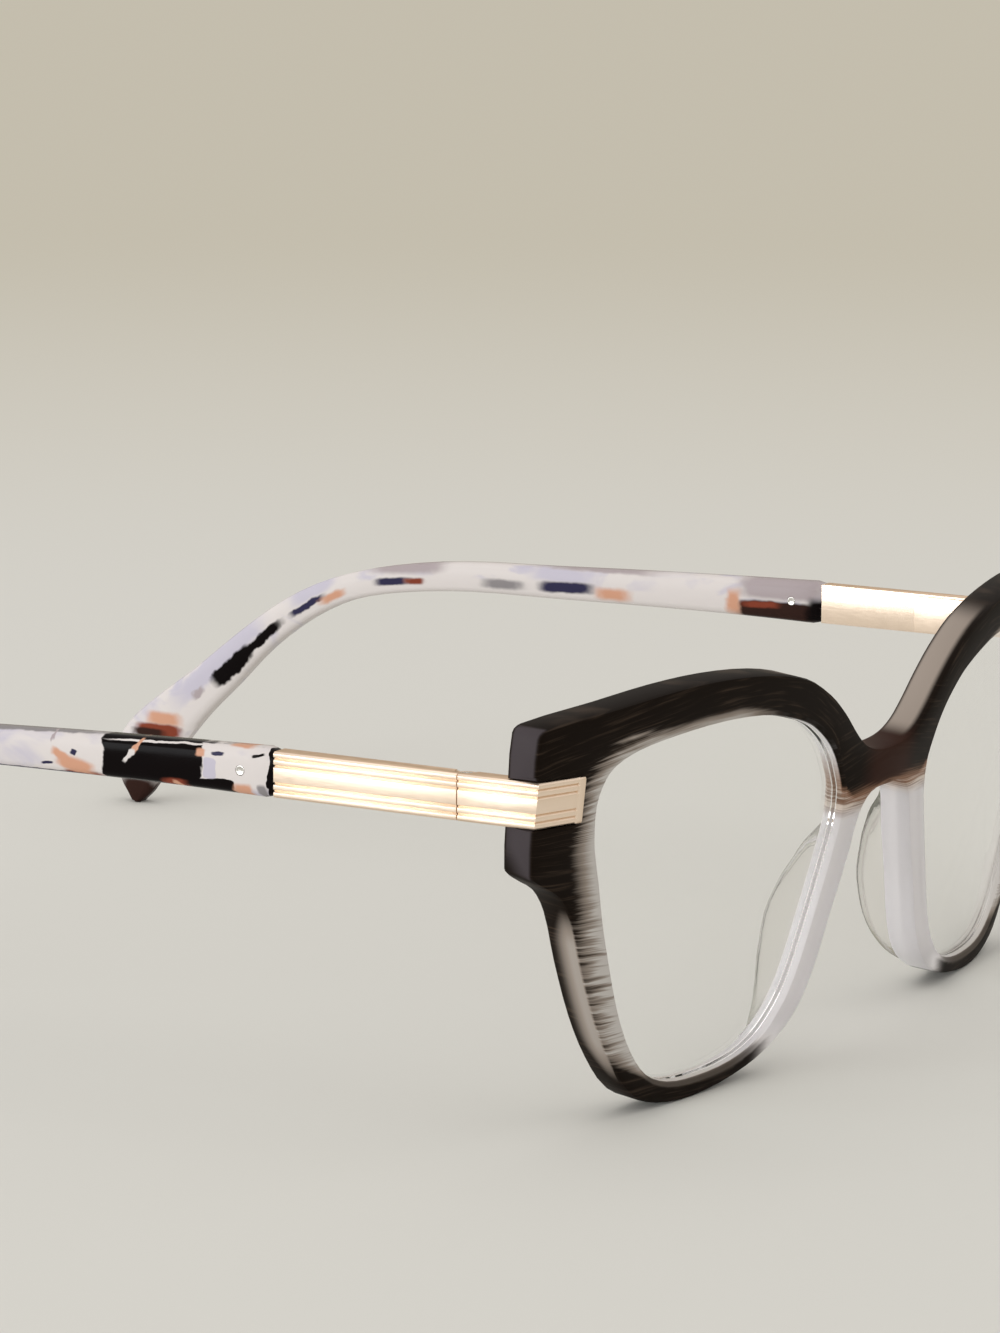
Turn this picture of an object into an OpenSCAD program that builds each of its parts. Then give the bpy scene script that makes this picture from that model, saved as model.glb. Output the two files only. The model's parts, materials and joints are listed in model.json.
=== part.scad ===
/* [Front] */
// Half the width of the front, to the outer face of the gold plate
half_w = 67; // [62:0.5:72]
// Height of the front, measured in its own plane
front_h = 47.5; // [44:0.25:50]
// Thickness of the acetate front
front_t = 4; // [3.7:0.1:4.4]
// Radius to which the front is bent round the face
wrap_radius = 242; // [200:1:320]
// Lean of the front, with its top forward
tilt = 6; // [3:0.5:8]
// Rounding of the acetate edges
edge_round = 0.5; // [0.3:0.05:0.7]

/* [Lenses] */
// Thickness of a lens at its edge
lens_t = 2; // [1.6:0.1:2.4]
// Depth of the lens groove in the rim
groove_d = 0.7; // [0.5:0.05:0.9]
// Width of the lens groove at its mouth
groove_w = 1.3; // [1:0.05:1.5]
// Bulge of the front of a lens
dome_front = 0.9; // [0.4:0.1:1.4]
// Hollow of the back of a lens
dome_back = 0.7; // [0.2:0.1:1.2]
// Gap between a lens and its groove
lens_gap = 0.08; // [0.04:0.01:0.15]

/* [Nose pads] */
// Reach of a pad behind the back of the front
pad_reach = 4.3; // [3:0.1:5.5]
// Thickness of a pad along its crest
pad_t = 1.3; // [0.8:0.1:1.8]
// Glue line between a pad and the rim
pad_gap = 0.04; // [0.02:0.01:0.1]

/* [Gold plates and bars] */
// Height of the gold band
bar_h = 5; // [4.4:0.1:5.4]
// Thickness of the gold band
bar_t = 2.3; // [2:0.05:2.5]
// Height of the middle of the gold band above the table
bar_z = 37.5; // [35.5:0.25:38.5]
// Length of the plate along the front
plate_len = 7; // [5:0.1:7.4]
// How far the plate stands out of the acetate
plate_proud = 0.1; // [0:0.05:0.3]
// Distance from the corner back to the hinge seam
seam_back = 9.6; // [8.6:0.1:11]
// Width of the open seam between the plate and the bar
seam_gap = 0.12; // [0.06:0.02:0.2]
// Length of the gold bar behind the seam
bar_len = 22.6; // [16:0.2:28]
// Depth of the fluting on the gold
flute_d = 0.22; // [0.1:0.02:0.3]
// Width of each flute
flute_w = 0.34; // [0.2:0.02:0.4]
// Width of the plain border at the nose end of the plate
border_w = 0.8; // [0.5:0.1:1.2]
// Height of that border above the bands
border_h = 0.12; // [0.05:0.01:0.2]
// Gap round the plate in its recess
plate_gap = 0.08; // [0.04:0.01:0.15]

/* [Hinges] */
// Distance of the hinge axis inside the outer face of the gold band
axis_in = 2.1; // [1.9:0.05:2.3]
// Radius of the hinge knuckles
knuckle_r = 1.05; // [0.9:0.05:1.1]
// Height of the three knuckles together
knuckle_h = 4.5; // [3.6:0.1:4.6]
// Slit between two knuckles
knuckle_slit = 0.06; // [0.04:0.01:0.1]
// Gap round the knuckles in the ends of the gold band
knuckle_gap = 0.2; // [0.12:0.01:0.25]
// Thickness of a hinge leaf
leaf_t = 0.5; // [0.4:0.05:0.6]
// Length of the leaf behind the seam
leaf_len = 8; // [5:0.2:12]
// Radius of the hinge screw
screw_r = 0.5; // [0.4:0.02:0.55]
// Radius of its head
screw_head_r = 0.75; // [0.65:0.02:0.8]
// Height of its head
screw_head_h = 0.45; // [0.3:0.05:0.6]
// Running gap round the screw
screw_gap = 0.03; // [0.01:0.01:0.06]

/* [Plate screws] */
// Radius of the small screws that hold the plate from behind
fix_r = 0.45; // [0.35:0.05:0.5]
// Radius of their heads
fix_head_r = 0.8; // [0.65:0.05:0.9]
// Height of their heads
fix_head_h = 0.45; // [0.3:0.05:0.6]
// Distance between the two screws of a plate
fix_pitch = 2.3; // [2:0.1:2.6]
// Distance of the screws from the nose end of the plate
fix_in = 2.2; // [1.8:0.1:2.6]
// How far the screws go into the plate
fix_bite = 1; // [0.7:0.05:1.2]
// Gap round the small screws
fix_gap = 0.03; // [0.01:0.01:0.06]

/* [Temples] */
// Distance from the corner back to the end of the temple
temple_reach = 141.4; // [134:0.2:148]
// Thickness of the acetate sleeve
sleeve_t = 3; // [2.8:0.1:3.6]
// Thickness of the sleeve at its tip
tip_t = 2.6; // [2.2:0.1:3]
// How far the sleeve stands proud of the gold outside
sleeve_proud = 0.15; // [0:0.05:0.3]
// How far the tips turn in
tip_in = 0.8; // [0:0.2:4]
// Width of the flat core wire inside the sleeve
core_w = 2.4; // [2:0.1:2.8]
// Thickness of the core wire
core_t = 1.1; // [0.9:0.05:1.3]
// Gap round the core wire
core_gap = 0.05; // [0.03:0.01:0.1]
// Depth of the socket for the wire in the gold bar
socket_d = 3; // [2:0.2:5]
// Radius of the rivet
rivet_r = 0.55; // [0.4:0.05:0.7]
// Distance of the rivet behind the end of the gold bar
rivet_back = 4.1; // [3:0.1:6]
// Gap round the rivet
rivet_gap = 0.03; // [0.01:0.01:0.06]
// Length over which the front end of the sleeve slopes down to the gold bar
end_slope = 1.2; // [0.6:0.1:2]

/* [Hidden] */

// Steps of the curve between two outline points
steps = 3;
// Overrun of every cut
over = 1;

// Outer outline of half the front, as shares of half_w and front_h,
// from the top of the bridge over the brow and round to the bottom of the bridge
outer_shares = [
    [0, 0.724], [0.06, 0.731], [0.104, 0.753], [0.142, 0.791], [0.188, 0.846],
    [0.248, 0.904], [0.328, 0.955], [0.44, 0.987], [0.575, 1], [0.701, 0.995],
    [0.836, 0.976], [0.988, 0.951], [1.006, 0.931], [1.002, 0.783], [0.993, 0.619],
    [0.978, 0.599], [0.927, 0.559], [0.895, 0.501], [0.859, 0.379], [0.811, 0.24],
    [0.76, 0.131], [0.7, 0.044], [0.627, 0.007], [0.537, 0], [0.425, 0.019],
    [0.328, 0.057], [0.251, 0.12], [0.203, 0.208], [0.161, 0.349], [0.121, 0.478],
    [0.096, 0.577], [0.06, 0.621], [0, 0.627]
];
// Outline of the lens opening, point for point opposite the outer outline
inner_shares = [
    [0.169, 0.661], [0.184, 0.699], [0.201, 0.735], [0.228, 0.775], [0.263, 0.811],
    [0.301, 0.84], [0.366, 0.869], [0.448, 0.891], [0.567, 0.897], [0.687, 0.886],
    [0.776, 0.867], [0.824, 0.842], [0.846, 0.813], [0.86, 0.758], [0.857, 0.678],
    [0.848, 0.627], [0.836, 0.573], [0.819, 0.488], [0.793, 0.383], [0.757, 0.257],
    [0.716, 0.158], [0.667, 0.088], [0.607, 0.055], [0.53, 0.048], [0.433, 0.059],
    [0.358, 0.091], [0.303, 0.147], [0.266, 0.215], [0.225, 0.347], [0.19, 0.476],
    [0.169, 0.56], [0.164, 0.602], [0.165, 0.636]
];
// Crest of a nose pad from its top end down: its place across the width of the rim,
// from the nasal edge, and its height as a share of pad_reach
pad_crest_shares = [
    [0.45, 0.05], [0.56, 0.5], [0.6, 0.82], [0.55, 1],
    [0.43, 0.9], [0.32, 0.68], [0.26, 0.4], [0.22, 0.05]
];
// Where behind the rim the pad starts and ends, as shares of the run of the outer outline
pad_span_shares = [0.938, 0.781];
// Width of the pad's foot as a share of the width of the rim
pad_foot_share = 0.84;
// Height of a pad's outer side half way up to its crest, as a share of the crest
pad_waist_share = 0.55;
// How far the walls of the front turn with its bend, as a share of the full turn
wall_turn_share = 0.65;
// Depth of the middle of the lens groove as a share of the thickness of the front
groove_share = 0.48;
// Part of the edge rounding that the middle point of a rounded edge keeps
round_share = 0.29;
// Size of the ring half way in over a lens
ring_share = 0.6;
// Middles of the flutes as shares of the height of the gold band
flute_shares = [0.15, 0.31, 0.69, 0.85];
// Top and bottom edge of the sleeve from the end of the gold bar on:
// shares of the sleeve's run along, and of bar_z up
sleeve_top_shares = [
    [0, 1.073], [0.115, 1.064], [0.235, 1.052], [0.364, 1.036], [0.492, 1.021], [0.593, 0.982],
    [0.676, 0.92], [0.749, 0.82], [0.818, 0.677], [0.882, 0.528], [0.942, 0.4],
    [0.982, 0.295], [0.999, 0.19], [0.994, 0.095], [0.975, 0.012]
];
sleeve_bottom_shares = [
    [0, 0.93], [0.115, 0.933], [0.235, 0.93], [0.36, 0.924], [0.483, 0.918], [0.579, 0.89],
    [0.648, 0.845], [0.708, 0.762], [0.767, 0.636], [0.818, 0.487], [0.862, 0.362],
    [0.896, 0.245], [0.926, 0.135], [0.948, 0.045], [0.965, 0]
];
// Rounded section of the sleeve, as shares of half its thickness and half its height
sleeve_section_shares = [
    [1, 0.62], [0.86, 0.86], [0.5, 1], [-0.5, 1], [-0.86, 0.86], [-1, 0.62],
    [-1, -0.62], [-0.86, -0.86], [-0.5, -1], [0.5, -1], [0.86, -0.86], [1, -0.62]
];
// Section of the core wire in the same way
core_section_shares = [
    [1, 0.5], [0.5, 1], [-0.5, 1], [-1, 0.5], [-1, -0.5], [-0.5, -1], [0.5, -1], [1, -0.5]
];
// Section point of the sleeve at which the core wire ends
core_last = 9;

// Curves through hand-set points
function heading(p, i) = (p[i + 1] - p[i - 1]) / norm(p[i + 1] - p[i - 1]);
function between(a, b, ma, mb, t) =
    (2 * t ^ 3 - 3 * t ^ 2 + 1) * a + (t ^ 3 - 2 * t ^ 2 + t) * ma
    + (3 * t ^ 2 - 2 * t ^ 3) * b + (t ^ 3 - t ^ 2) * mb;
// Smooth open curve: the first and last point only steer it
function curve(p) = [
    for (i = [1 : len(p) - 3]) for (s = [0 : steps - 1])
        let (span = norm(p[i + 1] - p[i]))
        between(p[i], p[i + 1], heading(p, i) * span, heading(p, i + 1) * span, s / steps)
];
function sized(shares, w, h) = [for (s = shares) [s[0] * w, s[1] * h]];
function mirrored(p) = [-p.x, p.y];
function last(list) = list[len(list) - 1];

outer_marks = sized(outer_shares, half_w, front_h);
inner_marks = sized(inner_shares, half_w, front_h);
marks = len(outer_marks);

// The outer outline, closed by the straight cut in the middle of the bridge
outer_line = concat(
    curve(concat([mirrored(outer_marks[1])], outer_marks, [mirrored(outer_marks[marks - 2])])),
    [for (s = [0 : steps - 1]) last(outer_marks) + (outer_marks[0] - last(outer_marks)) * s / steps]
);
inner_line = curve(concat([last(inner_marks)], inner_marks, [inner_marks[0], inner_marks[1]]));
stations = len(outer_line);
cut_from = (marks - 1) * steps;

// Unit normals, outwards from the rim on both lines
function turned(v) = norm(v) > 0 ? [-v.y, v.x] / norm(v) : [0, 0];
function line_normal(line, i) =
    turned(line[(i + 1) % stations] - line[(i + stations - 1) % stations]);
function outer_normal(i) =
    i == 0 ? [0, 1] : i == cut_from ? [0, -1] : i > cut_from ? [0, 0] : line_normal(outer_line, i);
function inner_normal(i) = -line_normal(inner_line, i);

// Depth of the bent front behind its foremost line
function wrap(x) = x ^ 2 / (2 * wrap_radius);
function placed(p, depth) =
    [p.x * (1 - wall_turn_share * depth / wrap_radius), wrap(p.x) + depth, p.y];

groove_y = front_t * groove_share;
soft = edge_round * round_share;
// Section of the rim: side (0 lens opening, 1 outside), setback from the line, depth
rim_section = [
    [1, edge_round, 0], [1, soft, soft], [1, 0, edge_round],
    [1, 0, front_t - edge_round], [1, soft, front_t - soft], [1, edge_round, front_t],
    [0, edge_round, front_t], [0, 0, front_t - edge_round],
    [0, 0, groove_y + groove_w / 2], [0, groove_d, groove_y], [0, 0, groove_y - groove_w / 2],
    [0, 0, edge_round], [0, soft, soft], [0, edge_round, 0]
];
function rim_point(i, s) = s[0] == 0
    ? placed(inner_line[i] - inner_normal(i) * s[1], s[2])
    : placed(outer_line[i] - outer_normal(i) * s[1], s[2]);
rim_points = [for (i = [0 : stations - 1]) for (s = rim_section) rim_point(i, s)];

// Triangles of a skin over rows of points, closed round each row
function skin(rows, cols, loop) = [
    for (r = [0 : rows - (loop ? 1 : 2)]) for (c = [0 : cols - 1])
        let (n = (r + 1) % rows, d = (c + 1) % cols)
        each [[r * cols + c, r * cols + d, n * cols + d], [r * cols + c, n * cols + d, n * cols + c]]
];
// Flat ends on such a skin, as fans from their first point
function end_caps(rows, cols) = [
    for (c = [1 : cols - 2])
        each [[0, c + 1, c], [(rows - 1) * cols, (rows - 1) * cols + c, (rows - 1) * cols + c + 1]]
];

// Standing of the front: its lowest point is on the table, its box is centred on the origin
front_low = min([for (p = rim_points) p.z * cos(tilt) + p.y * sin(tilt)]);
front_fore = min([for (p = rim_points) p.y * cos(tilt) - p.z * sin(tilt)]);
corner_depth = wrap(half_w) - plate_proud;
plate_v = (bar_z + front_low - corner_depth * sin(tilt)) / cos(tilt);
corner_back = corner_depth * cos(tilt) - plate_v * sin(tilt);
front_y = -(front_fore + corner_back + temple_reach) / 2;
corner_y = front_y + corner_back;

// Seats of the gold
plate_turn = atan((half_w - plate_len / 2) / wrap_radius);
seam_y = corner_y + seam_back;
bar_y = seam_y + seam_gap / 2;
bar_end = seam_y + bar_len;
bar_in = half_w - bar_t;
fix_back = front_t + plate_proud - bar_t;
// The core wire lies in the middle of the gold bar's thickness
core_x = half_w - flute_d - (bar_t - flute_d) / 2;

// Hinge
axis_x = half_w - axis_in;
knuckle_one = (knuckle_h - 2 * knuckle_slit) / 3;
knuckle_low = bar_z - knuckle_h / 2;
leaf_start = knuckle_r + knuckle_gap;
leaf_x = bar_in - leaf_t;
// The front leaf starts this far behind the corner, clear of the acetate
leaf_fore = front_t + edge_round;

// Sleeve
sleeve_run = corner_y + temple_reach - bar_end;
rivet_y = bar_end + rivet_back;
sleeve_x = half_w + sleeve_proud;
function steered(p) = concat([2 * p[0] - p[1]], p, [2 * last(p) - p[len(p) - 2]]);
function temple_line(shares) =
    let (p = sized(shares, sleeve_run, bar_z)) concat(curve(steered(p)), [last(p)]);
top_line = temple_line(sleeve_top_shares);
bottom_line = temple_line(sleeve_bottom_shares);
rings = len(top_line);
// Points of one ring: its middle, half its height as a vector, half its thickness
function temple_ring(y_z, up, across, x, section) = [
    for (s = section) [x + across * s[0], bar_end + y_z.x + up.x * s[1], y_z.y + up.y * s[1]]
];
function sleeve_half_t(i) = (sleeve_t + (tip_t - sleeve_t) * i / (rings - 1)) / 2;
function sleeve_mid_x(i) = sleeve_x - sleeve_half_t(i) - tip_in * (top_line[i].x / sleeve_run) ^ 4;
function sleeve_mid(i) = (top_line[i] + bottom_line[i]) / 2;
function sleeve_up(i) = (top_line[i] - bottom_line[i]) / 2;

// The front stands on the table and leans by its tilt
module lean() {
    translate([0, front_y, -front_low]) rotate([tilt, 0, 0]) children();
}
module mirrored_pair() {
    children();
    mirror([1, 0, 0]) children();
}
module right_side() {
    mirror([1, 0, 0]) children();
}

// Section of the fluted gold band: depth from its outer face, height from its middle
band_half = bar_h / 2;
band_section = concat(
    [[bar_t, -band_half], [flute_d, -band_half], [0, flute_d - band_half]],
    [for (f = flute_shares) each [
        [0, (f - 0.5) * bar_h - flute_w / 2],
        [flute_d, (f - 0.5) * bar_h],
        [0, (f - 0.5) * bar_h + flute_w / 2]
    ]],
    [[0, band_half - flute_d], [flute_d, band_half], [bar_t, band_half]]
);
// Frame of the plate: X outwards along the front, Y into it, origin on the corner
module at_plate() {
    lean() translate([half_w, corner_depth, plate_v]) rotate([0, 0, plate_turn]) children();
}
// A place in that frame: x along the front, d into it, h up it
function leaned(p) = [
    p.x,
    p.y * cos(tilt) - p.z * sin(tilt) + front_y,
    p.y * sin(tilt) + p.z * cos(tilt) - front_low
];
function on_plate(x, d, h) = leaned([
    half_w + x * cos(plate_turn) - d * sin(plate_turn),
    corner_depth + x * sin(plate_turn) + d * cos(plate_turn),
    plate_v + h
]);
// The corner of the band: a point equally deep behind the front and the side
function corner_run(d, h) =
    (d * (1 - sin(plate_turn)) - h * cos(plate_turn) * sin(tilt)) / (cos(plate_turn) * cos(tilt));
function nose_ring(section, x) = [for (s = section) on_plate(x, s[0], s[1])];
// A section carried from its nose rings on the leaning leg round the corner and back
module bent_band(nose_rings, section, end_y) {
    cols = len(section);
    rows = len(nose_rings) + 2;
    points = concat(
        [for (r = nose_rings) each r],
        [for (s = section) [half_w - s[0], corner_y + corner_run(s[0], s[1]), bar_z + s[1]]],
        [for (s = section) [half_w - s[0], end_y, bar_z + s[1]]]
    );
    ends = [[for (c = [1 : cols]) cols - c], [for (c = [0 : cols - 1]) (rows - 1) * cols + c]];
    polyhedron(points, concat(skin(rows, cols, false), ends));
}
// The plain border stands out of the bands and slopes down to them
border_section = [
    for (s = band_section) [s[0] == bar_t ? bar_t : abs(s[1]) < band_half ? -border_h : 0, s[1]]
];
plate_rings = [
    nose_ring(border_section, -plate_len),
    nose_ring(border_section, border_w - plate_len),
    nose_ring(band_section, border_w + border_h - plate_len)
];

// Recess for both legs of the plate
recess_half = band_half + plate_gap;
// Half its section, from its floor out to its mouth, whose edge is rounded by r
function recess_wall(r) = [
    [bar_t + plate_gap, recess_half], [edge_round, recess_half],
    [soft, recess_half + r * round_share], [0, recess_half + r], [-over, recess_half + r]
];
function recess_section(r) = let (wall = recess_wall(r)) concat(
    [for (p = wall) [p.x, -p.y]],
    [for (i = [1 : len(wall)]) wall[len(wall) - i]]
);
// The rounding of the mouth fades out towards the nose end
module recess() {
    bent_band([nose_ring(recess_section(0), -plate_len - plate_gap)], recess_section(edge_round), seam_y);
}
// Places of the two small screws of a plate, X along the front and Y into it
module each_fix() {
    for (side = [-1, 1])
        at_plate() translate([-plate_len + fix_in, bar_t, side * fix_pitch / 2])
            rotate([-90, 0, 0]) children();
}

module half_front() {
    difference() {
        lean() polyhedron(rim_points, skin(stations, len(rim_section), true));
        recess();
        each_fix() translate([0, 0, -over]) cylinder(h = fix_back + 2 * over, r = fix_r + fix_gap, $fn = 32);
        each_fix() translate([0, 0, fix_back - fix_head_h])
            cylinder(h = fix_head_h + over, r = fix_head_r + fix_gap, $fn = 32);
    }
}

module front_frame() {
    color([0.16, 0.12, 0.1]) mirrored_pair() half_front();
}

// A lens: bevelled edge in the groove, domed front and hollow back
lens_section = [
    [-lens_gap, groove_y - lens_t / 2], [-lens_gap, groove_y - groove_w / 2],
    [groove_d - lens_gap, groove_y], [-lens_gap, groove_y + groove_w / 2],
    [-lens_gap, groove_y + lens_t / 2]
];
lens_middle = [
    (max([for (p = inner_line) p.x]) + min([for (p = inner_line) p.x])) / 2,
    (max([for (p = inner_line) p.y]) + min([for (p = inner_line) p.y])) / 2
];
function lens_inner(i, share) =
    lens_middle + (inner_line[i] + inner_normal(i) * lens_gap - lens_middle) * share;
function lens_row(i) = concat(
    [placed(lens_inner(i, ring_share), lens_section[0][1] - dome_front * (1 - ring_share ^ 2))],
    [for (s = lens_section) placed(inner_line[i] - inner_normal(i) * s[0], s[1])],
    [placed(lens_inner(i, ring_share), last(lens_section)[1] - dome_back * (1 - ring_share ^ 2))]
);
lens_cols = len(lens_section) + 2;
lens_hub = stations * lens_cols;
lens_points = concat(
    [for (i = [0 : stations - 1]) each lens_row(i)],
    [
        placed(lens_middle, lens_section[0][1] - dome_front),
        placed(lens_middle, last(lens_section)[1] - dome_back)
    ]
);
lens_faces = [
    for (i = [0 : stations - 1])
        let (a = i * lens_cols, b = (i + 1) % stations * lens_cols, e = lens_cols - 1)
        each concat(
            [for (c = [0 : e - 1]) each [[a + c, a + c + 1, b + c + 1], [a + c, b + c + 1, b + c]]],
            [[a, b, lens_hub], [a + e, lens_hub + 1, b + e]]
        )
];
module lens() {
    color([0.85, 0.9, 0.92, 0.4]) lean() polyhedron(lens_points, lens_faces);
}

// A nose pad: a foot on the back of the rim, rising to a rounded crest
pad_curve = concat(curve(steered(pad_crest_shares)), [last(pad_crest_shares)]);
pad_rows = len(pad_curve);
pad_back = front_t + pad_gap;
outer_normals = [for (i = [0 : stations - 1]) outer_normal(i)];
function pad_station(r) = cut_from
    * (pad_span_shares[0] + (pad_span_shares[1] - pad_span_shares[0]) * r / (pad_rows - 1));
function on_line(line, t) = line[floor(t)] + (line[ceil(t)] - line[floor(t)]) * (t - floor(t));
// Place of a row of the pad across the rim: 0 at its nasal edge, 1 at the lens opening
function pad_across(r, share) = let (t = pad_station(r), o = on_line(outer_line, t))
    share > 0 ? o + (on_line(inner_line, t) - o) * share : o - on_line(outer_normals, t) * edge_round;
function pad_row(r) = let (
        n = pad_across(r, 0), m = pad_across(r, pad_foot_share), crest = pad_across(r, pad_curve[r].x),
        h = pad_curve[r].y * pad_reach, side = (m - n) / norm(m - n), round_off = min(pad_t, h) / 2,
        ridge = min(pad_t, norm(m - crest))
    ) [
        placed(m, pad_back),
        placed(crest + side * ridge, pad_back + max(0, h - 2 * round_off)),
        placed(crest + side * round_off, pad_back + h - round_off / 2),
        placed(crest, pad_back + h),
        placed(crest - side * round_off / 2, pad_back + h - round_off / 2),
        placed((n + crest) / 2 - side * round_off / 2, pad_back + h * pad_waist_share),
        placed(n, pad_back)
    ];
pad_points = [for (r = [0 : pad_rows - 1]) each pad_row(r)];
pad_cols = len(pad_row(0));
module nose_pad() {
    color([0.85, 0.84, 0.82, 0.6])
        lean() polyhedron(pad_points, concat(skin(pad_rows, pad_cols, false), end_caps(pad_rows, pad_cols)));
}

module corner_plate() {
    color([0.86, 0.68, 0.5]) difference() {
        bent_band(plate_rings, band_section, seam_y);
        // The seam end is cut off square
        translate([bar_in - over, seam_y - seam_gap / 2, bar_z - bar_h])
            cube([bar_t + 2 * over, over, 2 * bar_h]);
        each_fix() translate([0, 0, -fix_bite - fix_gap])
            cylinder(h = fix_bite + fix_gap + over, r = fix_r + fix_gap, $fn = 32);
        knuckle_pocket();
    }
}

module plate_screws() {
    color([0.7, 0.68, 0.65]) each_fix() {
        translate([0, 0, -fix_bite]) cylinder(h = fix_bite + fix_back, r = fix_r, $fn = 32);
        translate([0, 0, fix_back - fix_head_h]) cylinder(h = fix_head_h, r = fix_head_r, $fn = 32);
    }
}

// One knuckle with the arm that joins it to its leaf; back is 1 behind the seam, -1 before it
module knuckle(step, back) {
    translate([axis_x, seam_y, knuckle_low + step * (knuckle_one + knuckle_slit)]) {
        cylinder(h = knuckle_one, r = knuckle_r, $fn = 48);
        translate([leaf_x - axis_x, back > 0 ? 0 : -leaf_start, 0])
            cube([leaf_t, leaf_start, knuckle_one]);
    }
}
module hinge_bore() {
    translate([axis_x, seam_y, knuckle_low - over])
        cylinder(h = knuckle_h + 2 * over, r = screw_r + screw_gap, $fn = 48);
}
// Round pocket for the knuckles in the ends of the gold band
module knuckle_pocket() {
    translate([axis_x, seam_y, bar_z - band_half - over])
        cylinder(h = bar_h + 2 * over, r = leaf_start, $fn = 48);
}

module front_hinge() {
    color([0.86, 0.68, 0.5]) difference() {
        union() {
            for (k = [0, 2]) knuckle(k, -1);
            translate([leaf_x, corner_y + leaf_fore, knuckle_low])
                cube([leaf_t, seam_back - leaf_start - leaf_fore, knuckle_h]);
        }
        hinge_bore();
        translate([axis_x, seam_y, knuckle_low + knuckle_h - screw_head_h])
            cylinder(h = screw_head_h + over, r = screw_head_r + screw_gap, $fn = 48);
    }
}

module temple_hinge() {
    color([0.86, 0.68, 0.5]) difference() {
        union() {
            knuckle(1, 1);
            translate([leaf_x, seam_y + leaf_start, knuckle_low]) cube([leaf_t, leaf_len, knuckle_h]);
        }
        hinge_bore();
    }
}

module hinge_screw() {
    color([0.7, 0.68, 0.65]) translate([axis_x, seam_y, knuckle_low]) {
        cylinder(h = knuckle_h, r = screw_r, $fn = 48);
        translate([0, 0, knuckle_h - screw_head_h]) cylinder(h = screw_head_h, r = screw_head_r, $fn = 48);
    }
}

module temple_bar() {
    color([0.86, 0.68, 0.5]) difference() {
        translate([half_w, bar_y, bar_z]) rotate([90, 0, 180])
            linear_extrude(bar_end - bar_y) polygon(band_section);
        knuckle_pocket();
        translate([core_x - core_t / 2 - core_gap, bar_end - socket_d, bar_z - core_w / 2 - core_gap])
            cube([core_t + 2 * core_gap, socket_d + over, core_w + 2 * core_gap]);
    }
}

// The core wire, grown all round by its gap where it cuts the sleeve
core_rings = steps * core_last;
function core_ring(i, grow) = let (
        u = sleeve_up(i), mid_x = core_x - (sleeve_mid_x(0) - sleeve_mid_x(i))
    ) temple_ring(
        i == 0 ? [0, bar_z] : sleeve_mid(i), u / norm(u) * (core_w / 2 + grow), core_t / 2 + grow, mid_x,
        core_section_shares
    );
function core_start(grow, back) =
    temple_ring([-back, bar_z], [0, core_w / 2 + grow], core_t / 2 + grow, core_x, core_section_shares);
module core_solid(grow, back, spare) {
    rows = core_rings + spare + 2;
    cols = len(core_section_shares);
    points = concat(core_start(grow, back), [for (i = [0 : core_rings + spare]) each core_ring(i, grow)]);
    polyhedron(points, concat(skin(rows, cols, false), end_caps(rows, cols)));
}
module rivet_bore() {
    translate([sleeve_x - sleeve_t - over, rivet_y, sleeve_mid(0).y]) rotate([0, 90, 0])
        cylinder(h = sleeve_t + 2 * over, r = rivet_r + rivet_gap, $fn = 32);
}

module temple_core() {
    color([0.6, 0.6, 0.58]) difference() {
        core_solid(0, socket_d - core_gap, 0);
        rivet_bore();
    }
}

module temple_sleeve() {
    cols = len(sleeve_section_shares);
    // The front end is as thin as the gold bar, and full behind the slope
    end_mid_x = (sleeve_x - edge_round / 2 + bar_in) / 2;
    points = concat(
        temple_ring(sleeve_mid(0), sleeve_up(0) * (1 - edge_round / bar_h), end_mid_x - bar_in, end_mid_x,
            sleeve_section_shares),
        temple_ring(sleeve_mid(0) + [end_slope, 0], sleeve_up(0), sleeve_half_t(0), sleeve_mid_x(0),
            sleeve_section_shares),
        [for (i = [1 : rings - 1]) each temple_ring(
            sleeve_mid(i), sleeve_up(i), sleeve_half_t(i), sleeve_mid_x(i), sleeve_section_shares)]
    );
    color([0.75, 0.7, 0.74]) difference() {
        polyhedron(points, concat(skin(rings + 1, cols, false), end_caps(rings + 1, cols)));
        core_solid(core_gap, over, 1);
        rivet_bore();
    }
}

module temple_rivet() {
    color([0.8, 0.8, 0.8]) translate([sleeve_x - sleeve_t, rivet_y, sleeve_mid(0).y])
        rotate([0, 90, 0]) cylinder(h = sleeve_t, r = rivet_r, $fn = 32);
}

front_frame();
right_side() lens();  // right_lens
lens();  // left_lens
right_side() nose_pad();  // right_nose_pad
nose_pad();  // left_nose_pad
right_side() corner_plate();  // right_corner_plate
corner_plate();  // left_corner_plate
right_side() plate_screws();  // right_plate_screws
plate_screws();  // left_plate_screws
right_side() front_hinge();  // right_front_hinge
front_hinge();  // left_front_hinge
right_side() hinge_screw();  // right_hinge_screw
hinge_screw();  // left_hinge_screw
right_side() temple_hinge();  // right_temple_hinge
temple_hinge();  // left_temple_hinge
right_side() temple_bar();  // right_temple_bar
temple_bar();  // left_temple_bar
right_side() temple_core();  // right_temple_core
temple_core();  // left_temple_core
right_side() temple_sleeve();  // right_temple_sleeve
temple_sleeve();  // left_temple_sleeve
right_side() temple_rivet();  // right_temple_rivet
temple_rivet();  // left_temple_rivet
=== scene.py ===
import json
import math

import bpy
from mathutils import Matrix, Vector
from mathutils.kdtree import KDTree

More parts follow.
